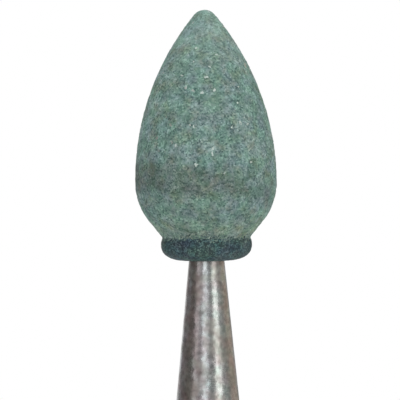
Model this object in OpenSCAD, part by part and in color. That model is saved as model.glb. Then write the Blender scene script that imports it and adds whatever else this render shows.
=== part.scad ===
// Mounted point: a bud-shaped abrasive head, cemented on a turned steel mandrel.
// Every piece is a body of revolution about Z, in millimetres.
// Z = 0 is the butt end of the shank, and the tip of the head points up.

/* [Abrasive head] */
// Largest diameter of the head
head_d = 5; // [4:0.1:8]
// Height of the head, from its base face to its tip
head_h = 8; // [6.5:0.1:14]
// Height of the widest point above the base face
belly_h = 1.95; // [1.2:0.05:3.5]
// Radius of the belly, which runs out into a conical back
belly_r = 2.2; // [0.6:0.1:2.3]
// Diameter of the base face, which sits on the cement collar
head_base_d = 3.1; // [2.4:0.1:3.8]
// Radius of the rounded tip
tip_r = 0.5; // [0.1:0.05:0.9]

/* [Cement] */
// Thickness of the cement between the spigot and the bore of the head
bond_t = 0.1; // [0.05:0.01:0.3]
// Height of the cement collar, from the neck to the base face of the head
collar_h = 0.82; // [0.5:0.02:1.5]
// How far the collar stands out past the base face of the head
collar_bulge = 0.06; // [0.02:0.01:0.2]
// How far below the base face the collar is widest
collar_shoulder_h = 0.22; // [0.1:0.01:0.4]
// Fullness of the underside of the collar: 2 is an ellipse, and more is squarer
collar_fullness = 2.5; // [2:0.1:4]

/* [Mandrel] */
// Diameter of the shank, which the collet grips
shank_d = 2.35; // [1.6:0.05:3.2]
// Length of the straight shank, with its chamfer
shank_l = 30.08; // [12:0.01:60]
// Chamfer at the butt end of the shank
butt_chamfer = 0.25; // [0.1:0.05:0.5]
// Length of the tapered neck, from the shank to the collar
neck_l = 5.6; // [3:0.1:12]
// Diameter of the neck at the collar, and of the spigot that carries on into the head
neck_d = 1.25; // [0.8:0.05:1.5]
// Depth of the spigot inside the head, above the base face
spigot_depth = 4.5; // [2:0.1:5.5]
// Chamfer at the end of the spigot
spigot_chamfer = 0.15; // [0.05:0.05:0.3]
// Depth of the keying grooves that the cement fills
groove_depth = 0.1; // [0.05:0.01:0.2]
// Width of each keying groove
groove_w = 0.3; // [0.15:0.05:0.5]
// Distance from one keying groove to the next
groove_pitch = 0.8; // [0.6:0.05:1.5]

/* [Hidden] */
$fn = 128;

head_r = head_d / 2;
head_base_r = head_base_d / 2;
shank_r = shank_d / 2;
neck_r = neck_d / 2;
bore_r = neck_r + bond_t;
bore_depth = spigot_depth + bond_t;
collar_r = head_base_r + collar_bulge;

// Heights along the tool, from the butt end up
neck_z = shank_l;
collar_z = neck_z + neck_l;
base_z = collar_z + collar_h;
spigot_end_z = base_z + spigot_depth;

// The belly arc is upright at the widest point, and the conical back is its tangent from the rim.
// The fullest arc would reach the rim itself, and the limit always leaves a short cone below the arc.
belly_limit = 0.95;
belly_drop = head_r - head_base_r;
fullest_belly_r = (belly_drop * belly_drop + belly_h * belly_h) / (2 * belly_drop);
belly_arc_r = min(belly_r, belly_limit * fullest_belly_r);
rim_from_belly = [belly_arc_r - belly_drop, -belly_h];
belly_angle = atan2(belly_h, rim_from_belly.x) - acos(belly_arc_r / norm(rim_from_belly));
belly_steps = 20;

// The flank arc is upright at the widest point and runs smoothly into the arc of the tip
tip_centre_h = head_h - tip_r;
flank_rise = tip_centre_h - belly_h;
flank_arc_r = (flank_rise * flank_rise / (head_r - tip_r) + head_r + tip_r) / 2;
tip_angle = atan2(flank_rise, flank_arc_r - head_r);
flank_steps = 36;
tip_steps = 10;

// The collar's shoulder arc is upright where the collar is widest and ends at the head's rim
shoulder_arc_r = (collar_bulge * collar_bulge + collar_shoulder_h * collar_shoulder_h) / (2 * collar_bulge);
shoulder_angle = atan2(collar_shoulder_h, shoulder_arc_r - collar_bulge);
shoulder_steps = 6;
underside_steps = 20;

// As many grooves as the spigot has room for, the first one half a pitch above the base face
groove_count = floor((spigot_depth - spigot_chamfer - groove_w) / groove_pitch);

// Point on a circle
function on_circle(centre, r, a) = centre + r * [cos(a), sin(a)];

// Points along an arc, from just after its start to its end
function arc(centre, r, from, to, steps) = [
    for (i = [1 : steps]) on_circle(centre, r, from + (to - from) * i / steps)
];

// Points of the collar's underside, from just after its widest point in to the neck
function underside() = [
    for (i = [1 : underside_steps])
        let (a = 90 * i / underside_steps, power = 2 / collar_fullness)
        [neck_r + (collar_r - neck_r) * pow(cos(a), power),
         base_z - collar_shoulder_h - (collar_h - collar_shoulder_h) * pow(sin(a), power)]
];

// Points of one keying groove, a shallow V round the spigot
function groove(z) = [
    [neck_r, z - groove_w / 2],
    [neck_r - groove_depth, z],
    [neck_r, z + groove_w / 2]
];

// Half outline of the mandrel, from the butt end up to the end of the spigot
module mandrel_outline() {
    polygon(concat(
        [[0, 0],
         [shank_r - butt_chamfer, 0],
         [shank_r, butt_chamfer],
         [shank_r, neck_z],
         [neck_r, collar_z]],
        [for (i = [0 : groove_count - 1]) each groove(base_z + groove_pitch * (i + 0.5))],
        [[neck_r, spigot_end_z - spigot_chamfer],
         [neck_r - spigot_chamfer, spigot_end_z],
         [0, spigot_end_z]]
    ));
}

// Half outline of the head, with its base face at zero: base, conical back, belly, flank, tip and bore
module head_outline() {
    belly_centre = [head_r - belly_arc_r, belly_h];
    polygon(concat(
        [[bore_r, 0],
         [head_base_r, 0],
         on_circle(belly_centre, belly_arc_r, -belly_angle)],
        arc(belly_centre, belly_arc_r, -belly_angle, 0, belly_steps),
        arc([head_r - flank_arc_r, belly_h], flank_arc_r, 0, tip_angle, flank_steps),
        arc([0, tip_centre_h], tip_r, tip_angle, 90, tip_steps),
        [[0, bore_depth],
         [bore_r, bore_depth]]
    ));
}

// Half outline of the cement: the filling of the bore, and the collar under the head
module cement_outline() {
    shoulder_centre = [collar_r - shoulder_arc_r, base_z - collar_shoulder_h];
    difference() {
        polygon(concat(
            [[0, base_z + bore_depth],
             [bore_r, base_z + bore_depth],
             [bore_r, base_z],
             [head_base_r, base_z]],
            arc(shoulder_centre, shoulder_arc_r, shoulder_angle, 0, shoulder_steps),
            underside(),
            [[0, collar_z]]
        ));
        mandrel_outline();
    }
}

// Vitrified silicon carbide head, with the blind bore that takes the spigot
module abrasive_head() {
    color([0.44, 0.54, 0.51])
        translate([0, 0, base_z])
            rotate_extrude() head_outline();
}

// Cement in one cured piece: it lines the bore and ends in the dark collar under the head
module cement_collar() {
    color([0.26, 0.33, 0.33])
        rotate_extrude() cement_outline();
}

// Turned steel mandrel: shank, tapered neck and grooved spigot
module mandrel() {
    color([0.58, 0.56, 0.54])
        rotate_extrude() mandrel_outline();
}

abrasive_head();
cement_collar();
mandrel();
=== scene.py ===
"""Looks of the mounted point: granular stone, cement bead and turned steel, in a small light tent.

Lengths are metres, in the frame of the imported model: +Z along the tool, and zero at the shank's butt end.
"""
import math

import bmesh
import bpy
from bpy.props import FloatProperty, FloatVectorProperty, IntProperty, PointerProperty
from mathutils import Matrix, Vector, noise


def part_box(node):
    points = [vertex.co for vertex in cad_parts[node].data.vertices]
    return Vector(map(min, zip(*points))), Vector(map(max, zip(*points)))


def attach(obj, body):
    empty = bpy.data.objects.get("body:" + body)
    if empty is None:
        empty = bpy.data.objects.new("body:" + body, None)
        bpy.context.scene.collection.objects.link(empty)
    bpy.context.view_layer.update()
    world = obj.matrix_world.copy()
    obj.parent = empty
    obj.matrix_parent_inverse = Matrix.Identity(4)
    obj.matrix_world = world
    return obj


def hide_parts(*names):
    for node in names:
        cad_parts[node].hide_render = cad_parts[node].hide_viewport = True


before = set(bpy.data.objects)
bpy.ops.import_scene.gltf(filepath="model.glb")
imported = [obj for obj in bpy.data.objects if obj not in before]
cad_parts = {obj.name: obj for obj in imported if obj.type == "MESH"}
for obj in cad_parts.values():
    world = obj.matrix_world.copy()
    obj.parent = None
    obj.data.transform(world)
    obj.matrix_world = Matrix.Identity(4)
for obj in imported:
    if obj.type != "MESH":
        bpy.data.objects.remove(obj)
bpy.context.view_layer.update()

bl_info = {
    "name": "Mounted Point",
    "version": (1, 0, 0),
    "blender": (4, 5, 0),
    "location": "View3D > Sidebar > Mounted Point",
    "description": "Builds the visible pieces of a mounted point and its studio",
    "category": "Object",
}

MM = 0.001
FULL_TURN = 2 * math.pi
QUARTER_TURN = math.pi / 2
MERGE_DISTANCE = 0.0001 * MM
# The least that a skin lies under the CAD form, so that it stays inside that form's facets too
SKIN_DEPTH = 0.005 * MM

# Places along the tool and radii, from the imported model
HEAD_LOW, HEAD_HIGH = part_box("abrasive_head")
CEMENT_LOW, CEMENT_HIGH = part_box("cement_collar")
MANDREL_LOW, MANDREL_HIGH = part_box("mandrel")
HEAD_RADIUS = HEAD_HIGH.x
BASE_Z = HEAD_LOW.z
TIP_Z = HEAD_HIGH.z
COLLAR_RADIUS = CEMENT_HIGH.x
COLLAR_Z = CEMENT_LOW.z
BORE_END_Z = CEMENT_HIGH.z
SHANK_RADIUS = MANDREL_HIGH.x
BUTT_Z = MANDREL_LOW.z
SPIGOT_END_Z = MANDREL_HIGH.z

# How far a modelled grain's domed top and its tilt change its height
GRAIN_DOME, GRAIN_TILT = 0.35, 0.35
# Shares of a painted grain's relief that its domed top and its tone give
DOME_SHARE, TONE_SHARE = 0.6, 0.4
# The middle level of a noise, and the levels between which a patch usually fades in
NOISE_MIDDLE = 0.5
PATCH_LOW, PATCH_HIGH = 0.35, 0.65
# Ragged seam: size and swing of its waves, in reaches, and the soft step from one material to the other
SEAM_WAVE, SEAM_SWING, SEAM_STEP = 2.0, 2.0, 0.1
# Dark band: between which heights it fades in and out, in reaches above the belly
BAND_FOOT = (-1.0, -0.3)
BAND_TOP = (0.4, 1.1)
# Soft step in rank from a dull grain to a shiny crystal
CRYSTAL_STEP = 0.005
# Segments of each rounded edge on the mandrel
EDGE_SEGMENTS = 4

# Studio: lamps, floor, camera, and the cards that reflections show
WHITE = (1.0, 1.0, 1.0)
KEY_DISTANCE = 0.115
KEY_HEIGHT = 0.07
KEY_AZIMUTH = 43
KEY_AIM = Vector((0, 0, KEY_HEIGHT))
KEY_SIZE = (0.05, 0.18)
KEY_TINT = (1.0, 0.99, 0.92)
TOP_PLACE = Vector((0, -0.06, 0.16))
TOP_AIM = Vector((0, 0, 0.036))
TOP_SIZE = (0.12, 0.12)
FLOOR_RADIUS = 0.4
FLOOR_SEGMENTS = 96
FLOOR_DROP = 0.02 * MM
FLOOR_GREY = (0.86, 0.86, 0.86)
FLOOR_ROUGHNESS = 0.9
FLOOR_FADE_START, FLOOR_FADE_END = 0.03, 0.09
# Nearest and farthest things that the camera sees, in shares of its distance
CLIP_NEAR, CLIP_FAR = 0.01, 100
CARD_DISTANCE = 0.05
CARD_HEIGHT = 0.09
CARD_STEP = 5
# Azimuth from, azimuth to, level and tint of each card
CARDS = {
    "far_left_card": (-142, -97, 0.28, (1.0, 0.92, 0.94)),
    "left_card": (-97, -62, 0.20, (1.0, 0.88, 0.79)),
    "near_left_card": (-62, -40, 0.82, (1.0, 0.89, 0.87)),
    "left_gap_card": (-40, -23, 0.44, (1.0, 0.93, 0.93)),
    "front_strip_card": (-23, 1, 1.65, (0.97, 1.0, 1.0)),
    "front_card": (1, 16, 0.47, WHITE),
    "right_gap_card": (16, 31, 0.31, (1.0, 0.97, 0.93)),
    "key_card": (31, 57, 1.95, (1.0, 0.99, 0.93)),
    "right_card": (57, 80, 0.49, (1.0, 0.99, 0.94)),
    "side_card": (80, 97, 0.43, (1.0, 0.96, 0.86)),
    "far_right_card": (97, 142, 0.60, (1.0, 0.86, 0.71)),
    "back_right_card": (142, 180, 0.45, (1.0, 0.98, 0.96)),
    "back_left_card": (180, 218, 0.95, WHITE),
}

# Sockets of the Mix node when it mixes colours
MIX_FACTOR, MIX_A, MIX_B, MIX_RESULT = 0, 6, 7, 2
# Kinds of node group sockets
VALUE, VECTOR = "NodeSocketFloat", "NodeSocketVector"


def length(name, description, default):
    """A length that a user can change, in metres."""
    return FloatProperty(name=name, description=description, default=default, unit="LENGTH", precision=6)


def share(name, description, default):
    """A share from 0 to 1 that a user can change."""
    return FloatProperty(
        name=name, description=description, default=default, subtype="FACTOR", min=0.0, max=1.0, precision=3
    )


def level(name, description, default):
    """A plain level or ratio that a user can change."""
    return FloatProperty(name=name, description=description, default=default, min=0.0, precision=3)


def angle(name, description, degrees):
    """An angle that a user can change, given in degrees."""
    return FloatProperty(name=name, description=description, default=math.radians(degrees), subtype="ANGLE")


def count(name, description, default):
    """A number of segments or rings that a user can change."""
    return IntProperty(name=name, description=description, default=default, min=8)


def colour(name, description, default):
    """A colour that a user can change, as linear red, green and blue."""
    return FloatVectorProperty(
        name=name, description=description, default=default, subtype="COLOR", min=0.0, max=1.0
    )


class StoneSettings(bpy.types.PropertyGroup):
    """Sizes, levels and colours of the abrasive head."""

    belly_height: length("Belly height", "Height of the widest point above the base face", 1.95 * MM)
    belly_radius: length("Belly radius", "Radius of the belly above the conical back", 2.2 * MM)
    base_radius: length("Base radius", "Radius of the base face", 1.55 * MM)
    tip_radius: length("Tip radius", "Radius of the rounded tip", 0.5 * MM)
    bore_radius: length("Bore radius", "Radius of the blind bore", 0.725 * MM)
    segments: count("Segments", "Segments round the head", 360)
    flank_rings: count("Flank rings", "Rings along the flank", 150)
    sharp_angle: angle("Sharp angle", "Angle from which an edge stays sharp", 60)
    lump_size: length("Lump size", "Size of the lumps that stand out on the skin", 0.12 * MM)
    lump_depth: length("Lump depth", "Depth of the lumps", 0.016 * MM)
    swell_size: length("Swell size", "Size of the slow unevenness of the skin", 0.8 * MM)
    swell_depth: length("Swell depth", "Depth of the slow unevenness", 0.008 * MM)
    grain_size: length("Grain size", "Usual size of one abrasive grain", 0.055 * MM)
    grain_relief: length("Grain relief", "Relief of the finest grains", 0.03 * MM)
    relief_strength: share("Relief strength", "How strongly the relief of the grains shows", 0.7)
    roughness: share("Roughness", "Roughness of the dull grains", 0.88)
    specular: share("Specular level", "Strength of the reflections on the dull grains", 0.3)
    crystal_size: length("Crystal size", "Usual size of the coarse grains", 0.095 * MM)
    coarse_share: share("Coarse share", "Share of the tone that comes from the coarse grains", 0.2)
    crystal_share: share("Crystal share", "Share of the coarse grains that are shiny crystals", 0.007)
    cluster_share: share("Cluster share", "Further share of shiny crystals where they cluster", 0.03)
    cluster_size: length("Cluster size", "Usual size of the clusters of shiny crystals", 1.25 * MM)
    crystal_lean: share("Crystal lean", "How far the shiny faces lean out of the skin", 0.4)
    crystal_gloss: share("Crystal gloss", "How much smoother the shiny crystals are", 0.6)
    crystal_metal: share("Crystal metal", "How metallic the shiny crystals look", 0.9)
    low_crystal: share("Low crystal", "Level of the shiny crystals below the belly", 0.2)
    blue_size: length("Blue size", "Usual size of the bluer patches", 0.7 * MM)
    green_size: length("Green size", "Usual size of the greener patches", 0.5 * MM)
    brown_size: length("Brown size", "Usual size of the browner patches", 0.4 * MM)
    shade_size: length("Shade size", "Usual size of the darker patches", 0.45 * MM)
    band_reach: length("Band reach", "How far the dark band reaches from the belly", 0.7 * MM)
    band_patch: length("Band patch", "Usual size of the patches in the dark band", 0.52 * MM)
    band_thin: share("Band thin", "Level of the dark band between its patches", 0.65)
    # Painted shade: the band is strongest on the left, the side away from the key softbox, and weaker on the
    # right
    band_shade_side: length("Band side", "Distance left of the axis at which the band starts to weaken", 1.0 * MM)
    band_shade_right: share("Band right", "Level of the dark band on the far right", 0.4)
    band_tilt: share("Band tilt", "Slope of the dark band, which lies lower in front", 0.03)
    band_lean: share("Band lean", "Slope of the dark band, which lies higher on the left", 0.08)
    # Painted light: the stone turns paler towards the tip, standing in for the light that falls from above
    tip_light_start: length("Pale start", "Distance below the tip at which the stone turns paler", 3.0 * MM)
    tip_light_share: share("Pale share", "How far the tip takes the colour of the palest grains", 0.17)
    back_height: length("Back height", "Height of the greener back above the base face", 0.9 * MM)
    back_fade: length("Back fade", "Height at which the greener back starts to fade", 0.18 * MM)
    dark_grain: colour("Dark grain", "Darkest grains", (0.077, 0.125, 0.111))
    main_grain: colour("Main grain", "Most of the grains", (0.191, 0.281, 0.229))
    grey_grain: colour("Grey grain", "Greyer grains", (0.247, 0.315, 0.278))
    pale_grain: colour("Pale grain", "Palest grains", (0.380, 0.484, 0.403))
    crystal: colour("Crystal", "Shiny crystals", (0.50, 0.58, 0.55))
    blue_patch: colour("Blue patch", "Tint of the bluer patches", (0.90, 0.925, 1.0))
    green_patch: colour("Green patch", "Tint of the greener patches", (0.83, 1.0, 0.85))
    brown_patch: colour("Brown patch", "Tint of the browner patches", (1.0, 0.88, 0.78))
    shade_patch: colour("Shade patch", "Tint of the darker patches", (0.75, 0.74, 0.75))
    upper_tint: colour("Upper tint", "Tint of all but the back", (0.846, 0.904, 1.0))
    band_tint: colour("Band tint", "Tint of the dark band round the belly", (0.645, 0.575, 0.57))


class CementSettings(bpy.types.PropertyGroup):
    """Sizes, levels and colours of the cement bead."""

    shoulder_height: length("Shoulder height", "Drop from the base face to the widest point", 0.22 * MM)
    fullness: level("Fullness", "Fullness of the underside: 2 is an ellipse", 2.5)
    segments: count("Segments", "Segments round the bead", 320)
    shoulder_rings: count("Shoulder rings", "Rings from the base face to the widest point", 8)
    underside_rings: count("Underside rings", "Rings from the widest point to the neck", 40)
    sharp_angle: angle("Sharp angle", "Angle from which an edge stays sharp", 50)
    relief_depth: length("Relief depth", "Depth of the grainy skin", 0.012 * MM)
    swell_size: length("Swell size", "Size of the slow unevenness of the skin", 0.5 * MM)
    swell_depth: length("Swell depth", "Depth of the slow unevenness", 0.008 * MM)
    grain_size: length("Grain size", "Size of the filler grains", 0.042 * MM)
    grain_relief: length("Grain relief", "Relief of the filler grains", 0.015 * MM)
    relief_strength: share("Relief strength", "How strongly the relief of the grains shows", 0.6)
    roughness: share("Roughness", "Roughness of the smoothest grains", 0.55)
    rougher: share("Rougher", "How much rougher the roughest grains are", 0.2)
    specular: share("Specular level", "Strength of the reflections on the cement", 0.35)
    blue_size: length("Blue size", "Usual size of the bluer patches", 0.55 * MM)
    green_size: length("Green size", "Usual size of the greener patches", 0.44 * MM)
    plum_size: length("Plum size", "Usual size of the purplish patches", 0.385 * MM)
    seam_reach: length("Seam reach", "How far stone and cement mix above and below their seam", 0.2 * MM)
    seam_lift: length("Seam lift", "Height of the seam's middle above the base face", 0.01 * MM)
    dark: colour("Dark", "Darkest part of the cement", (0.013, 0.027, 0.033))
    main: colour("Main", "Main colour of the cement", (0.034, 0.067, 0.072))
    pale: colour("Pale", "Palest grains in the cement", (0.114, 0.174, 0.168))
    blue_patch: colour("Blue patch", "Tint of the bluer patches", (0.60, 0.82, 1.0))
    green_patch: colour("Green patch", "Tint of the greener patches", (0.80, 1.0, 0.82))
    plum_patch: colour("Plum patch", "Tint of the purplish patches", (1.0, 0.78, 0.90))


class SteelSettings(bpy.types.PropertyGroup):
    """Sizes, levels and colours of the mandrel."""

    neck_start: length("Neck start", "Height at which the taper starts", 30.08 * MM)
    neck_radius: length("Neck radius", "Radius of the neck at the collar", 0.625 * MM)
    butt_chamfer: length("Butt chamfer", "Chamfer at the butt end", 0.25 * MM)
    spigot_chamfer: length("Spigot chamfer", "Chamfer at the end of the spigot", 0.15 * MM)
    groove_depth: length("Groove depth", "Depth of the keying grooves", 0.1 * MM)
    groove_width: length("Groove width", "Width of each keying groove", 0.3 * MM)
    groove_pitch: length("Groove pitch", "Distance between keying grooves", 0.8 * MM)
    edge_round: length("Edge rounding", "Rounding of the turned edges", 0.04 * MM)
    segments: count("Segments", "Segments round the mandrel", 192)
    shank_rings: count("Shank rings", "Rings along the shank", 30)
    neck_rings: count("Neck rings", "Rings along the tapered neck", 12)
    sharp_angle: angle("Sharp angle", "Angle from which an edge stays sharp", 40)
    ring_pitch: length("Ring pitch", "Distance between the fine rings from turning", 0.03 * MM)
    ring_relief: share("Ring relief", "Relief of the fine rings, as a share of that of the beads", 0.15)
    bead_size: length("Bead size", "Size of the uneven beads in the sheen", 0.18 * MM)
    bead_relief: length("Bead relief", "Relief of the beads", 0.012 * MM)
    bead_contrast: level("Bead contrast", "How far the beads lighten and darken the steel", 1.4)
    relief_strength: share("Relief strength", "How strongly the relief of rings and beads shows", 0.8)
    roughness: share("Roughness", "Roughness of the bright steel", 0.18)
    patch_rougher: share("Rougher patches", "How much rougher the warm patches are", 0.1)
    ring_rougher: share("Rougher rings", "How much rougher the fine rings are", 0.12)
    warm_size: length("Warm size", "Usual size of the warm patches", 0.5 * MM)
    pink_size: length("Pink size", "Usual size of the pinkish patches", 0.45 * MM)
    green_size: length("Green size", "Usual size of the greenish patches", 0.35 * MM)
    clean_below: length("Clean below", "Drop below the taper at which the steel is cleaner", 1.5 * MM)
    uneven_above: length("Uneven above", "Rise on the taper at which the steel is most uneven", 0.75 * MM)
    clean_share: share("Clean share", "Share of the unevenness that the cleaner steel keeps", 0.25)
    # Partly a real brownish discolouring and partly painted shade, just under the collar
    stain_and_shade_height: length("Stain height", "Height of the stain under the collar", 0.3 * MM)
    stain_and_shade_share: share("Stain share", "How far the stain hides the steel", 0.6)
    bright: colour("Bright steel", "Clean turned steel", (0.425, 0.448, 0.456))
    warm: colour("Warm steel", "Steel with a warm, brownish cast", (0.358, 0.350, 0.337))
    pink_patch: colour("Pink patch", "Tint of the pinkish patches", (1.0, 0.90, 0.93))
    green_patch: colour("Green patch", "Tint of the greenish patches", (0.92, 1.0, 0.97))
    # Partly a real brownish discolouring and partly painted shade under the collar
    stain_and_shade: colour("Stain", "Stain just under the collar", (0.20, 0.165, 0.14))


class StudioSettings(bpy.types.PropertyGroup):
    """Camera and light levels."""

    frame_width: length("Frame width", "Width that the picture takes in at the object", 14.04 * MM)
    axis_offset: length("Axis offset", "How far the tool axis lies right of the centre", 0.215 * MM)
    aim_height: length("Aim height", "Height at the centre of the picture", 37.82 * MM)
    lens: FloatProperty(
        name="Lens", description="Focal length in millimetres", default=200.0, unit="CAMERA", min=20.0
    )
    elevation: angle("Elevation", "Height angle of the view", 0.6)
    roll: angle("Roll", "Lean of the camera", -0.5)
    ambient: level("Ambient", "Level of the light from all round", 0.85)
    key: level("Key", "Brightness of the right softbox", 1.38)
    top: level("Top", "Brightness of the softbox overhead", 1.6)


def settings():
    """The settings that the scene holds."""
    return bpy.context.scene.mounted_point


# Outlines: each piece starts as a half outline in the XZ plane and is spun about Z


def line_to(bm, start, x, z, steps=1):
    """Draw a straight stretch of outline from a vertex, and return its last vertex."""
    origin = start.co.copy()
    target = Vector((x, 0, z))
    vert = start
    for step in range(1, steps + 1):
        vert = bmesh.ops.extrude_vert_indiv(bm, verts=[vert])["verts"][0]
        vert.co = origin.lerp(target, step / steps)
    return vert


def arc_to(bm, start, centre_x, centre_z, turn, steps):
    """Draw an arc of outline from a vertex, turning about a centre, and return its last vertex."""
    made = bmesh.ops.spin(
        bm, geom=[start], cent=(centre_x, 0, centre_z), axis=(0, 1, 0), angle=turn, steps=steps
    )
    return next(item for item in made["geom_last"] if isinstance(item, bmesh.types.BMVert))


def draw_bore(bm):
    """Draw the blind bore's outline from its end on the axis out to the rim of the base face."""
    stone = settings().stone
    vert = bm.verts.new((0, 0, BORE_END_Z))
    vert = line_to(bm, vert, stone.bore_radius, BORE_END_Z)
    vert = line_to(bm, vert, stone.bore_radius, BASE_Z)
    return line_to(bm, vert, stone.base_radius, BASE_Z)


def draw_spigot(bm, vert):
    """Draw the spigot's outline from the neck at the collar up to its end on the axis."""
    steel = settings().steel
    radius = steel.neck_radius
    room = SPIGOT_END_Z - BASE_Z - steel.spigot_chamfer - steel.groove_width
    for number in range(math.floor(room / steel.groove_pitch)):
        middle = BASE_Z + steel.groove_pitch * (number + 0.5)
        vert = line_to(bm, vert, radius, middle - steel.groove_width / 2)
        vert = line_to(bm, vert, radius - steel.groove_depth, middle)
        vert = line_to(bm, vert, radius, middle + steel.groove_width / 2)
    vert = line_to(bm, vert, radius, SPIGOT_END_Z - steel.spigot_chamfer)
    vert = line_to(bm, vert, radius - steel.spigot_chamfer, SPIGOT_END_Z)
    return line_to(bm, vert, 0, SPIGOT_END_Z)


def revolve(bm, segments):
    """Spin the outline about Z into a closed skin that faces outwards."""
    bmesh.ops.spin(
        bm, geom=bm.verts[:] + bm.edges[:], cent=(0, 0, 0), axis=(0, 0, 1),
        angle=FULL_TURN, steps=segments, use_merge=True,
    )
    bmesh.ops.remove_doubles(bm, verts=bm.verts[:], dist=MERGE_DISTANCE)
    bmesh.ops.recalc_face_normals(bm, faces=bm.faces[:])
    bm.normal_update()


def place_mesh(bm, name, material):
    """Turn a bmesh into an object of the scene, with one material."""
    mesh = bpy.data.meshes.new(name)
    bm.to_mesh(mesh)
    bm.free()
    mesh.materials.append(material)
    placed = bpy.data.objects.new(name, mesh)
    bpy.context.scene.collection.objects.link(placed)
    return placed


def finish_piece(bm, name, material, node, sharp_angle):
    """Turn a bmesh into a piece that stands for a CAD node and moves with the body."""
    for face in bm.faces:
        face.smooth = True
    piece = place_mesh(bm, name, material)
    piece.data.set_sharp_from_angle(angle=sharp_angle)
    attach(piece, "root")
    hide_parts(node)


# Granular skins: each vertex moves inwards, so that no grain stands out of the CAD form


def grain_height(point, size):
    """Height from 0 to 1 of the grain at a point: a tilted facet with a level of its own."""
    distances, centres = noise.voronoi(point / size)
    middle = centres[0]
    own_level = 0.5 + 0.5 * noise.cell(middle)
    tilt = noise.cell_vector(middle).dot(point / size - middle)
    return min(max(own_level - GRAIN_DOME * distances[0] + GRAIN_TILT * tilt, 0.0), 1.0)


def roughen(verts, size, depth, swell_size, swell_depth):
    """Press the grain and a slow swell into a skin, along each vertex's normal."""
    moves = []
    for vert in verts:
        grain_drop = 1 - grain_height(vert.co, size)
        swell_drop = 0.5 + 0.5 * noise.noise(vert.co / swell_size)
        moves.append(vert.normal * -(SKIN_DEPTH + depth * grain_drop + swell_depth * swell_drop))
    for vert, move in zip(verts, moves):
        vert.co += move


# Node helpers


def feed(tree, node, inputs):
    """Link or set the inputs of a node."""
    for socket, source in inputs.items():
        if isinstance(source, bpy.types.NodeSocket):
            tree.links.new(source, node.inputs[socket])
        else:
            node.inputs[socket].default_value = source


def put(tree, kind, inputs=None, **plain):
    """Add a node, set its plain settings, and feed its inputs."""
    node = tree.nodes.new(kind)
    for name, value in plain.items():
        setattr(node, name, value)
    feed(tree, node, inputs or {})
    return node


def reckon(tree, operation, first, second=0.0, third=0.0):
    """A Math node's result."""
    return put(tree, "ShaderNodeMath", {0: first, 1: second, 2: third}, operation=operation).outputs[0]


def times(tree, first, second):
    """The product of two values."""
    return reckon(tree, "MULTIPLY", first, second)


def reckon_vector(tree, operation, inputs):
    """A Vector Math node's result."""
    return put(tree, "ShaderNodeVectorMath", inputs, operation=operation).outputs["Vector"]


def span(tree, vector):
    """The length of a vector."""
    return put(tree, "ShaderNodeVectorMath", {0: vector}, operation="LENGTH").outputs["Value"]


def fade(tree, value, start, end, low=0.0, high=1.0):
    """A smooth step of a value, from low at start to high at end."""
    inputs = {"Value": value, "From Min": start, "From Max": end, "To Min": low, "To Max": high}
    return put(tree, "ShaderNodeMapRange", inputs, interpolation_type="SMOOTHSTEP").outputs["Result"]


def blend(tree, factor, first, second, mode="MIX"):
    """The colour that two colours give when mixed."""
    inputs = {MIX_FACTOR: factor, MIX_A: first, MIX_B: second}
    return put(tree, "ShaderNodeMix", inputs, data_type="RGBA", blend_type=mode).outputs[MIX_RESULT]


def opaque(rgb):
    """A colour setting as red, green, blue and alpha."""
    return (*rgb, 1.0)


def ramp(tree, value, stops):
    """A colour ramp over a value from 0 to 1, with (place, colour) stops."""
    node = put(tree, "ShaderNodeValToRGB", {"Fac": value})
    elements = node.color_ramp.elements
    while len(elements) < len(stops):
        elements.new(1.0)
    for element, (place, rgb) in zip(elements, stops):
        element.position = place
        element.color = opaque(rgb)
    return node.outputs["Color"]


def object_place(tree):
    """The place of a point on a piece."""
    return put(tree, "ShaderNodeTexCoord").outputs["Object"]


def place_parts(tree):
    """The X, Y and Z of a point on a piece."""
    return put(tree, "ShaderNodeSeparateXYZ", {"Vector": object_place(tree)}).outputs


def soft_noise(tree, scale):
    """A soft noise over a piece."""
    return put(tree, "ShaderNodeTexNoise", {"Vector": object_place(tree), "Scale": scale}).outputs["Fac"]


def emboss(tree, inputs):
    """A Bump node's normal."""
    return put(tree, "ShaderNodeBump", inputs).outputs["Normal"]


def glow(tree, tint, strength):
    """A surface that gives off light of its own."""
    return put(tree, "ShaderNodeEmission", {"Color": opaque(tint), "Strength": strength}).outputs["Emission"]


def empty_nodes(holder):
    """The node tree of a new material or world, without its first nodes."""
    holder.use_nodes = True
    holder.node_tree.nodes.clear()
    return holder.node_tree


def new_material(name):
    """A material with a plain Principled surface."""
    material = bpy.data.materials.new(name)
    tree = empty_nodes(material)
    shader = put(tree, "ShaderNodeBsdfPrincipled")
    put(tree, "ShaderNodeOutputMaterial", {"Surface": shader.outputs["BSDF"]})
    return material, tree, shader


# Node groups that the materials share


def new_group(name, inputs, outputs):
    """A node group with value inputs and outputs of the given kinds, and its input and output nodes."""
    tree = bpy.data.node_groups.new(name, "ShaderNodeTree")
    for socket in inputs:
        tree.interface.new_socket(socket, in_out="INPUT", socket_type=VALUE)
    for socket, kind in outputs.items():
        tree.interface.new_socket(socket, in_out="OUTPUT", socket_type=kind)
    return tree, put(tree, "NodeGroupInput"), put(tree, "NodeGroupOutput")


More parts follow.
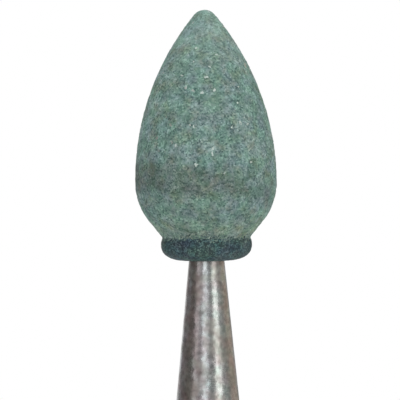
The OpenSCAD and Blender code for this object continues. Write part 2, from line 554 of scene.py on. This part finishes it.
def build_grain(name):
    """Grains of one size: a tone, a share and a lean for each grain, and its relief."""
    kinds = {"Tone": VALUE, "Share": VALUE, "Lean": VECTOR, "Relief": VALUE}
    tree, given, result = new_group(name, ["Size"], kinds)
    middle = (NOISE_MIDDLE, NOISE_MIDDLE, NOISE_MIDDLE)
    size = given.outputs["Size"]
    scale = reckon(tree, "DIVIDE", 1.0, size)
    place = object_place(tree)
    stir = put(tree, "ShaderNodeTexNoise", {"Vector": place, "Scale": scale, "Detail": 1.0})
    shift = reckon_vector(tree, "SUBTRACT", {0: stir.outputs["Color"], 1: middle})
    shift = reckon_vector(tree, "SCALE", {0: shift, "Scale": size})
    stirred = reckon_vector(tree, "ADD", {0: place, 1: shift})
    cells = put(tree, "ShaderNodeTexVoronoi", {"Vector": stirred, "Scale": scale}).outputs
    parts = put(tree, "ShaderNodeSeparateColor", {"Color": cells["Color"]}).outputs
    lean = put(tree, "ShaderNodeTexWhiteNoise", {"Vector": cells["Position"]}).outputs["Color"]
    dome = reckon(tree, "MULTIPLY_ADD", cells["Distance"], -DOME_SHARE, DOME_SHARE)
    feed(tree, result, {
        "Tone": parts["Red"],
        "Share": parts["Blue"],
        "Lean": reckon_vector(tree, "SUBTRACT", {0: lean, 1: middle}),
        "Relief": reckon(tree, "MULTIPLY_ADD", parts["Red"], TONE_SHARE, dome),
    })
    return tree


def build_mottle(name):
    """Soft patches of one size, from 0 to 1."""
    tree, given, result = new_group(name, ["Size", "Low", "High"], {"Mask": VALUE})
    cloud = soft_noise(tree, reckon(tree, "DIVIDE", 1.0, given.outputs["Size"]))
    feed(tree, result, {"Mask": fade(tree, cloud, given.outputs["Low"], given.outputs["High"])})
    return tree


def build_seam(name):
    """The ragged seam between stone and cement: 1 on each grain that cement covers."""
    tree, given, result = new_group(name, ["Share", "Height", "Reach"], {"Mask": VALUE})
    reach = given.outputs["Reach"]
    cloud = soft_noise(tree, reckon(tree, "DIVIDE", 1 / SEAM_WAVE, reach))
    wave = reckon(tree, "SUBTRACT", cloud, NOISE_MIDDLE)
    depth = reckon(tree, "SUBTRACT", given.outputs["Height"], place_parts(tree)["Z"])
    depth = reckon(tree, "DIVIDE", depth, reach)
    depth = reckon(tree, "MULTIPLY_ADD", wave, SEAM_SWING, depth)
    covered = fade(tree, depth, -1.0, 1.0, 0.0, 1.0 + SEAM_STEP)
    beyond = reckon(tree, "SUBTRACT", covered, given.outputs["Share"])
    feed(tree, result, {"Mask": fade(tree, beyond, 0.0, SEAM_STEP)})
    return tree


def place_group(tree, name, build, inputs):
    """A node group in a material, built the first time it is asked for."""
    held = bpy.data.node_groups.get(name) or build(name)
    return put(tree, "ShaderNodeGroup", inputs, node_tree=held).outputs


def grain(tree, size):
    """Grains in a material."""
    return place_group(tree, "Grain", build_grain, {"Size": size})


def mottle(tree, size, low=PATCH_LOW, high=PATCH_HIGH):
    """The mask of soft patches in a material."""
    return place_group(tree, "Mottle", build_mottle, {"Size": size, "Low": low, "High": high})["Mask"]


def seam(tree, grains):
    """The mask of the grains that cement covers, in the stone or in the cement."""
    cement = settings().cement
    inputs = {"Share": grains["Share"], "Height": BASE_Z + cement.seam_lift, "Reach": cement.seam_reach}
    return place_group(tree, "Seam", build_seam, inputs)["Mask"]


def tinted(tree, body, tint, size, low=PATCH_LOW, high=PATCH_HIGH, strength=1.0):
    """A colour with soft patches of a tint."""
    patches = times(tree, mottle(tree, size, low, high), strength)
    return blend(tree, patches, body, opaque(tint), "MULTIPLY")


# Stone


def grain_colour(tree, fine, coarse):
    """The colour of the stone's grains, with patches of several tints."""
    stone = settings().stone
    fine_tone = times(tree, fine["Tone"], 1 - stone.coarse_share)
    tone = reckon(tree, "MULTIPLY_ADD", coarse["Tone"], stone.coarse_share, fine_tone)
    body = ramp(tree, tone, [
        (0.05, stone.dark_grain),
        (0.40, stone.main_grain),
        (0.68, stone.grey_grain),
        (0.98, stone.pale_grain),
    ])
    body = tinted(tree, body, stone.blue_patch, stone.blue_size)
    body = tinted(tree, body, stone.green_patch, stone.green_size)
    body = tinted(tree, body, stone.brown_patch, stone.brown_size, low=0.45, high=0.75)
    return tinted(tree, body, stone.shade_patch, stone.shade_size)


def belly_band(tree, place):
    """The mask of the dark band round the belly, with painted shade that makes it strongest on the left,
    away from the key softbox.
    """
    stone = settings().stone
    belly_z = BASE_Z + stone.belly_height
    height = reckon(tree, "MULTIPLY_ADD", place["Y"], -stone.band_tilt, place["Z"])
    height = reckon(tree, "MULTIPLY_ADD", place["X"], stone.band_lean, height)
    foot_z = [belly_z + rise * stone.band_reach for rise in BAND_FOOT]
    top_z = [belly_z + rise * stone.band_reach for rise in BAND_TOP]
    foot = fade(tree, height, *foot_z)
    top = fade(tree, height, *top_z, 1.0, 0.0)
    # Painted shade: the band weakens towards the right, where the key softbox lights the head
    side = fade(tree, place["X"], -stone.band_shade_side, HEAD_RADIUS, 1.0, stone.band_shade_right)
    patches = mottle(tree, stone.band_patch)
    cloud = reckon(tree, "MULTIPLY_ADD", patches, 1 - stone.band_thin, stone.band_thin)
    return times(tree, times(tree, foot, top), times(tree, side, cloud))


def crystal_mask(tree, coarse, place):
    """The mask of the few coarse grains that are shiny crystals, duller below the belly."""
    stone = settings().stone
    cluster = mottle(tree, stone.cluster_size, low=0.5)
    rank = reckon(tree, "MULTIPLY_ADD", cluster, stone.cluster_share, coarse["Share"])
    first = 1 - stone.crystal_share
    crystal = fade(tree, rank, first, first + CRYSTAL_STEP)
    belly_z = BASE_Z + stone.belly_height
    shine = fade(tree, place["Z"], belly_z, belly_z + stone.band_reach, stone.low_crystal, 1.0)
    return times(tree, crystal, shine)


def crystal_normal(tree, crystal, lean):
    """The skin's normal, which leans its own way on each shiny crystal."""
    lean_size = times(tree, crystal, settings().stone.crystal_lean)
    skin = put(tree, "ShaderNodeNewGeometry").outputs["Normal"]
    leaning = reckon_vector(tree, "SCALE", {0: lean, "Scale": lean_size})
    return reckon_vector(tree, "NORMALIZE", {0: reckon_vector(tree, "ADD", {0: skin, 1: leaning})})


def stone_colour(tree, fine, coarse, place):
    """The colour of the stone: grains, a dark band with painted shade on its left, painted light towards the
    tip, a greener back, and cement at the seam.
    """
    stone = settings().stone
    cement = settings().cement
    body = grain_colour(tree, fine, coarse)
    body = blend(tree, belly_band(tree, place), body, opaque(stone.band_tint), "MULTIPLY")
    # Painted light: paler towards the tip, for the light that falls from above
    pale = fade(tree, place["Z"], TIP_Z - stone.tip_light_start, TIP_Z, 0.0, stone.tip_light_share)
    body = blend(tree, pale, body, opaque(stone.pale_grain))
    upper = fade(tree, place["Z"], BASE_Z + stone.back_fade, BASE_Z + stone.back_height)
    body = blend(tree, upper, body, opaque(stone.upper_tint), "MULTIPLY")
    cement_grain = blend(tree, fine["Tone"], opaque(cement.dark), opaque(cement.pale))
    return blend(tree, seam(tree, fine), body, cement_grain)


def stone_material():
    """Vitrified green abrasive: grains of many tones and a few shiny crystals."""
    stone = settings().stone
    material, tree, shader = new_material("abrasive_stone")
    fine = grain(tree, stone.grain_size)
    coarse = grain(tree, stone.crystal_size)
    place = place_parts(tree)
    crystal = crystal_mask(tree, coarse, place)
    body = stone_colour(tree, fine, coarse, place)
    feed(tree, shader, {
        "Base Color": blend(tree, crystal, body, opaque(stone.crystal)),
        "Metallic": times(tree, crystal, stone.crystal_metal),
        "Roughness": reckon(tree, "MULTIPLY_ADD", crystal, -stone.crystal_gloss, stone.roughness),
        "Specular IOR Level": stone.specular,
        "Normal": emboss(tree, {
            "Height": fine["Relief"],
            "Distance": stone.grain_relief,
            "Strength": stone.relief_strength,
            "Normal": crystal_normal(tree, crystal, coarse["Lean"]),
        }),
    })
    return material


class ShapeStone(bpy.types.Operator):
    """Shape the bud of the abrasive head from a cone and three arcs, and press its grain into it"""

    bl_idname = "mounted_point.shape_stone"
    bl_label = "Shape Abrasive Head"

    def execute(self, context):
        stone = settings().stone
        belly_z = BASE_Z + stone.belly_height
        belly_x = HEAD_RADIUS - stone.belly_radius
        rim = Vector((stone.base_radius - belly_x, -stone.belly_height))
        belly_angle = math.atan2(-rim.y, rim.x) - math.acos(stone.belly_radius / rim.length)
        belly_foot = Vector((math.cos(belly_angle), -math.sin(belly_angle))) * stone.belly_radius
        tip_centre_z = TIP_Z - stone.tip_radius
        rise = tip_centre_z - belly_z
        flank_arc = (rise**2 / (HEAD_RADIUS - stone.tip_radius) + HEAD_RADIUS + stone.tip_radius) / 2
        tip_angle = math.atan2(rise, flank_arc - HEAD_RADIUS)

        ring_gap = flank_arc * tip_angle / stone.flank_rings
        back_rings = round((rim - belly_foot).length / ring_gap)
        belly_rings = round(stone.belly_radius * belly_angle / ring_gap)
        tip_rings = round(stone.tip_radius * (QUARTER_TURN - tip_angle) / ring_gap)

        bm = bmesh.new()
        vert = draw_bore(bm)
        vert = line_to(bm, vert, belly_x + belly_foot.x, belly_z + belly_foot.y, back_rings)
        vert = arc_to(bm, vert, belly_x, belly_z, -belly_angle, belly_rings)
        vert = arc_to(bm, vert, HEAD_RADIUS - flank_arc, belly_z, -tip_angle, stone.flank_rings)
        tip = arc_to(bm, vert, 0, tip_centre_z, tip_angle - QUARTER_TURN, tip_rings)
        tip.co = (0, 0, TIP_Z)
        revolve(bm, stone.segments)

        bore = stone.bore_radius + MERGE_DISTANCE
        above_base = [v for v in bm.verts if v.co.z > BASE_Z + MERGE_DISTANCE]
        skin = [v for v in above_base if v.co.z > BORE_END_Z + MERGE_DISTANCE or v.co.xy.length > bore]
        roughen(skin, stone.lump_size, stone.lump_depth, stone.swell_size, stone.swell_depth)
        finish_piece(bm, "granular_head", stone_material(), "abrasive_head", stone.sharp_angle)
        return {"FINISHED"}


# Cement


def cement_colour(tree, fine):
    """The colour of the cement: filler grains, tinted patches, and stone grains along the seam."""
    cement = settings().cement
    stone = settings().stone
    body = ramp(tree, fine["Tone"], [(0.1, cement.dark), (0.55, cement.main), (0.98, cement.pale)])
    body = tinted(tree, body, cement.blue_patch, cement.blue_size)
    body = tinted(tree, body, cement.green_patch, cement.green_size)
    body = tinted(tree, body, cement.plum_patch, cement.plum_size, low=0.45, high=0.7)
    stone_grain = blend(tree, fine["Tone"], opaque(stone.dark_grain), opaque(stone.main_grain))
    return blend(tree, seam(tree, fine), stone_grain, body)


def cement_material():
    """Dark cured cement with fine pale filler grains."""
    cement = settings().cement
    material, tree, shader = new_material("cured_cement")
    fine = grain(tree, cement.grain_size)
    feed(tree, shader, {
        "Base Color": cement_colour(tree, fine),
        "Roughness": reckon(tree, "MULTIPLY_ADD", fine["Share"], cement.rougher, cement.roughness),
        "Specular IOR Level": cement.specular,
        "Normal": emboss(tree, {
            "Height": fine["Relief"],
            "Distance": cement.grain_relief,
            "Strength": cement.relief_strength,
        }),
    })
    return material


class CastCement(bpy.types.Operator):
    """Cast the cement: the bead under the head and the lining of its bore"""

    bl_idname = "mounted_point.cast_cement"
    bl_label = "Cast Cement Bead"

    def execute(self, context):
        cement = settings().cement
        neck_radius = settings().steel.neck_radius
        bulge = COLLAR_RADIUS - settings().stone.base_radius
        shoulder_arc = (bulge**2 + cement.shoulder_height**2) / (2 * bulge)
        shoulder_angle = math.atan2(cement.shoulder_height, shoulder_arc - bulge)
        shoulder_x = COLLAR_RADIUS - shoulder_arc
        shoulder_z = BASE_Z - cement.shoulder_height

        bm = bmesh.new()
        vert = draw_bore(bm)
        vert = arc_to(bm, vert, shoulder_x, shoulder_z, shoulder_angle, cement.shoulder_rings)
        drawn = set(bm.verts[:])
        vert = arc_to(bm, vert, neck_radius, shoulder_z, QUARTER_TURN, cement.underside_rings)
        self.fill_out(set(bm.verts[:]) - drawn, neck_radius, shoulder_z, cement.fullness)
        draw_spigot(bm, vert)
        revolve(bm, cement.segments)

        neck = neck_radius + MERGE_DISTANCE
        bead = [v for v in bm.verts if v.co.z < BASE_Z - MERGE_DISTANCE and v.co.xy.length > neck]
        roughen(bead, cement.grain_size, cement.relief_depth, cement.swell_size, cement.swell_depth)
        finish_piece(bm, "cement_bead", cement_material(), "cement_collar", cement.sharp_angle)
        return {"FINISHED"}

    @staticmethod
    def fill_out(points, neck_radius, shoulder_z, fullness):
        """Make a round quarter arc as deep as the bead and as full as the setting says."""
        reach = COLLAR_RADIUS - neck_radius
        for point in points:
            across = max(point.co.x - neck_radius, 0.0) / reach
            down = max(shoulder_z - point.co.z, 0.0) / reach
            point.co.x = neck_radius + reach * across ** (2 / fullness)
            point.co.z = shoulder_z - (shoulder_z - COLLAR_Z) * down ** (2 / fullness)


# Steel


def steel_colour(tree, place, patches, beads, uneven):
    """The colour of the steel: warm and tinted patches, beads, and under the collar a brown mark that is
    partly real discolouring and partly painted shade.
    """
    steel = settings().steel
    body = blend(tree, patches, opaque(steel.bright), opaque(steel.warm))
    body = tinted(tree, body, steel.pink_patch, steel.pink_size, strength=uneven)
    body = tinted(tree, body, steel.green_patch, steel.green_size, strength=uneven)
    lightness = reckon(tree, "MULTIPLY_ADD", beads, steel.bead_contrast, 1.0)
    body = blend(tree, 1.0, body, lightness, "MULTIPLY")
    # Partly real brownish discolouring, partly painted shade where the collar shades the top of the neck
    stain_and_shade = fade(tree, place["Z"], COLLAR_Z - steel.stain_and_shade_height, COLLAR_Z, 0.0, steel.stain_and_shade_share)
    stain_and_shade = times(tree, stain_and_shade, mottle(tree, steel.stain_and_shade_height, low=0.3, high=0.7))
    return blend(tree, stain_and_shade, body, opaque(steel.stain_and_shade))


def turning_rings(tree, place):
    """The fine rings from turning, along the shank, up the taper and across the butt end."""
    across = reckon_vector(tree, "MULTIPLY", {0: object_place(tree), 1: (1.0, 1.0, 0.0)})
    travel = reckon(tree, "ADD", place["Z"], span(tree, across))
    turns = {"W": reckon(tree, "DIVIDE", travel, settings().steel.ring_pitch), "Scale": 1.0}
    return put(tree, "ShaderNodeTexNoise", turns, noise_dimensions="1D").outputs["Fac"]


def steel_material():
    """Turned steel with fine rings and a beaded sheen, cleaner on the shank than on the neck."""
    steel = settings().steel
    material, tree, shader = new_material("turned_steel")
    place = place_parts(tree)
    clean_z = steel.neck_start - steel.clean_below
    uneven_z = steel.neck_start + steel.uneven_above
    uneven = fade(tree, place["Z"], clean_z, uneven_z, steel.clean_share, 1.0)
    patches = times(tree, mottle(tree, steel.warm_size), uneven)
    cloud = soft_noise(tree, 1 / steel.bead_size)
    beads = times(tree, reckon(tree, "SUBTRACT", cloud, NOISE_MIDDLE), uneven)
    rings = turning_rings(tree, place)
    sheen = reckon(tree, "MULTIPLY_ADD", patches, steel.patch_rougher, steel.roughness)
    feed(tree, shader, {
        "Base Color": steel_colour(tree, place, patches, beads, uneven),
        "Metallic": 1.0,
        "Roughness": reckon(tree, "MULTIPLY_ADD", rings, steel.ring_rougher, sheen),
        "Normal": emboss(tree, {
            "Height": reckon(tree, "MULTIPLY_ADD", rings, steel.ring_relief, beads),
            "Distance": steel.bead_relief,
            "Strength": steel.relief_strength,
        }),
    })
    return material


class TurnMandrel(bpy.types.Operator):
    """Turn the mandrel: shank, tapered neck and grooved spigot"""

    bl_idname = "mounted_point.turn_mandrel"
    bl_label = "Turn Mandrel"

    def execute(self, context):
        steel = settings().steel
        bm = bmesh.new()
        butt_centre = bm.verts.new((0, 0, BUTT_Z))
        butt_edge = line_to(bm, butt_centre, SHANK_RADIUS - steel.butt_chamfer, BUTT_Z)
        shank_edge = line_to(bm, butt_edge, SHANK_RADIUS, BUTT_Z + steel.butt_chamfer)
        neck_edge = line_to(bm, shank_edge, SHANK_RADIUS, steel.neck_start, steel.shank_rings)
        collar_edge = line_to(bm, neck_edge, steel.neck_radius, COLLAR_Z, steel.neck_rings)
        bmesh.ops.bevel(
            bm, geom=[butt_edge, shank_edge, neck_edge], offset=steel.edge_round, offset_type="OFFSET",
            affect="VERTICES", segments=EDGE_SEGMENTS, profile=0.5, material=-1,
        )
        draw_spigot(bm, collar_edge)
        revolve(bm, steel.segments)
        finish_piece(bm, "turned_mandrel", steel_material(), "mandrel", steel.sharp_angle)
        return {"FINISHED"}


# Studio


def around(azimuth, distance, height):
    """A point round the tool. Azimuth 0 is towards the camera and 90 to its right, in degrees."""
    turn = math.radians(azimuth)
    return Vector((math.sin(turn) * distance, -math.cos(turn) * distance, height))


def facing(direction):
    """The turn of a lamp or a camera that faces along a direction."""
    return direction.to_track_quat("-Z", "Y").to_matrix().to_4x4()


def softbox(name, place, aim, size, radiance, tint):
    """A soft panel lamp of a given brightness that faces a point. Reflections show the cards instead."""
    lamp = bpy.data.lights.new(name, "AREA")
    lamp.shape = "RECTANGLE"
    lamp.size, lamp.size_y = size
    lamp.energy = radiance * math.pi * lamp.size * lamp.size_y
    lamp.color = tint
    panel = bpy.data.objects.new(name, lamp)
    panel.matrix_world = Matrix.Translation(place) @ facing(aim - place)
    panel.visible_camera = False
    panel.visible_glossy = False
    bpy.context.scene.collection.objects.link(panel)


def card(name, start, end, strength, tint):
    """A curved studio card that only reflections see, between two azimuths in degrees."""
    bm = bmesh.new()
    foot = bm.verts.new(around(start, CARD_DISTANCE, 0))
    top = bm.verts.new(around(start, CARD_DISTANCE, CARD_HEIGHT))
    edge = bm.edges.new((foot, top))
    bmesh.ops.spin(
        bm, geom=[foot, top, edge], cent=(0, 0, 0), axis=(0, 0, 1),
        angle=math.radians(end - start), steps=math.ceil((end - start) / CARD_STEP),
    )
    material = bpy.data.materials.new(name)
    tree = empty_nodes(material)
    put(tree, "ShaderNodeOutputMaterial", {"Surface": glow(tree, tint, strength)})
    panel = place_mesh(bm, name, material)
    panel.visible_camera = False
    panel.visible_diffuse = False
    panel.visible_transmission = False
    panel.visible_volume_scatter = False
    panel.visible_shadow = False


def sight_rays(tree):
    """1 for rays that see a surface or a reflection of it, and 0 for rays that only carry light."""
    rays = put(tree, "ShaderNodeLightPath").outputs
    seen = reckon(tree, "MAXIMUM", rays["Is Camera Ray"], rays["Is Glossy Ray"])
    return reckon(tree, "MAXIMUM", seen, rays["Is Transmission Ray"])


def white_world(ambient):
    """A world that looks white and lights at a plain level."""
    world = bpy.data.worlds.new("light_tent")
    tree = empty_nodes(world)
    light = put(tree, "ShaderNodeBackground", {"Color": opaque(WHITE), "Strength": ambient}).outputs[0]
    sight = put(tree, "ShaderNodeBackground", {"Color": opaque(WHITE), "Strength": 1.0}).outputs[0]
    mixed = put(tree, "ShaderNodeMixShader", {0: sight_rays(tree), 1: light, 2: sight})
    put(tree, "ShaderNodeOutputWorld", {"Surface": mixed.outputs[0]})
    bpy.context.scene.world = world


def floor_material():
    """Pale paper that turns into the white background further out."""
    material = bpy.data.materials.new("pale_floor")
    tree = empty_nodes(material)
    paint = {"Base Color": opaque(FLOOR_GREY), "Roughness": FLOOR_ROUGHNESS}
    paper = put(tree, "ShaderNodeBsdfPrincipled", paint).outputs["BSDF"]
    spread = span(tree, object_place(tree))
    far = times(tree, fade(tree, spread, FLOOR_FADE_START, FLOOR_FADE_END), sight_rays(tree))
    mixed = put(tree, "ShaderNodeMixShader", {0: far, 1: paper, 2: glow(tree, WHITE, 1.0)})
    put(tree, "ShaderNodeOutputMaterial", {"Surface": mixed.outputs[0]})
    return material


def pale_floor():
    """A round pale floor that keeps the shadow."""
    bm = bmesh.new()
    bmesh.ops.create_circle(bm, cap_ends=True, segments=FLOOR_SEGMENTS, radius=FLOOR_RADIUS)
    bmesh.ops.translate(bm, verts=bm.verts[:], vec=(0, 0, BUTT_Z - FLOOR_DROP))
    floor = place_mesh(bm, "floor", floor_material())


def aim_camera():
    """A long lens that frames the head, collar and neck as the photograph does."""
    studio = settings().studio
    data = bpy.data.cameras.new("camera")
    data.lens = studio.lens
    half_view = math.atan(data.sensor_width / 2 / data.lens)
    distance = studio.frame_width / 2 / math.tan(half_view)
    data.clip_start = CLIP_NEAR * distance
    data.clip_end = CLIP_FAR * distance
    target = Vector((-studio.axis_offset, 0, studio.aim_height))
    back = Vector((0, -math.cos(studio.elevation), math.sin(studio.elevation)))
    turn = facing(-back) @ Matrix.Rotation(studio.roll, 4, "Z")
    camera = bpy.data.objects.new("camera", data)
    camera.matrix_world = Matrix.Translation(target + back * distance) @ turn
    bpy.context.scene.collection.objects.link(camera)
    bpy.context.scene.camera = camera


class SetStudio(bpy.types.Operator):
    """Set up the floor, the light tent with its cards, and the camera"""

    bl_idname = "mounted_point.set_studio"
    bl_label = "Set Up Studio"

    def execute(self, context):
        studio = settings().studio
        context.scene.view_settings.view_transform = "Standard"
        white_world(studio.ambient)
        pale_floor()
        key_place = around(KEY_AZIMUTH, KEY_DISTANCE, KEY_HEIGHT)
        softbox("key_softbox", key_place, KEY_AIM, KEY_SIZE, studio.key, KEY_TINT)
        softbox("top_softbox", TOP_PLACE, TOP_AIM, TOP_SIZE, studio.top, WHITE)
        for name, values in CARDS.items():
            card(name, *values)
        aim_camera()
        return {"FINISHED"}


class MountedPointSettings(bpy.types.PropertyGroup):
    """All settings of the mounted point."""

    stone: PointerProperty(type=StoneSettings)
    cement: PointerProperty(type=CementSettings)
    steel: PointerProperty(type=SteelSettings)
    studio: PointerProperty(type=StudioSettings)


class MountedPointPanel(bpy.types.Panel):
    """Lists the settings and the steps of the build"""

    bl_idname = "VIEW3D_PT_mounted_point"
    bl_label = "Mounted Point"
    bl_space_type = "VIEW_3D"
    bl_region_type = "UI"
    bl_category = "Mounted Point"

    def draw(self, context):
        held = context.scene.mounted_point
        steps = {"stone": ShapeStone, "cement": CastCement, "steel": TurnMandrel, "studio": SetStudio}
        for name, step in steps.items():
            values = getattr(held, name)
            box = self.layout.box()
            for setting in values.__annotations__:
                box.prop(values, setting)
            box.operator(step.bl_idname)


CLASSES = (
    StoneSettings,
    CementSettings,
    SteelSettings,
    StudioSettings,
    MountedPointSettings,
    ShapeStone,
    CastCement,
    TurnMandrel,
    SetStudio,
    MountedPointPanel,
)


def register():
    """Register the classes and hang the settings on the scene."""
    for cls in CLASSES:
        bpy.utils.register_class(cls)
    bpy.types.Scene.mounted_point = PointerProperty(type=MountedPointSettings)


def unregister():
    """Take the settings and the classes away again."""
    del bpy.types.Scene.mounted_point
    for cls in reversed(CLASSES):
        bpy.utils.unregister_class(cls)


def main():
    """Build every piece and the studio."""
    register()
    bpy.ops.mounted_point.shape_stone()
    bpy.ops.mounted_point.cast_cement()
    bpy.ops.mounted_point.turn_mandrel()
    bpy.ops.mounted_point.set_studio()
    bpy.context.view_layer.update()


if __name__ == "__main__":
    main()
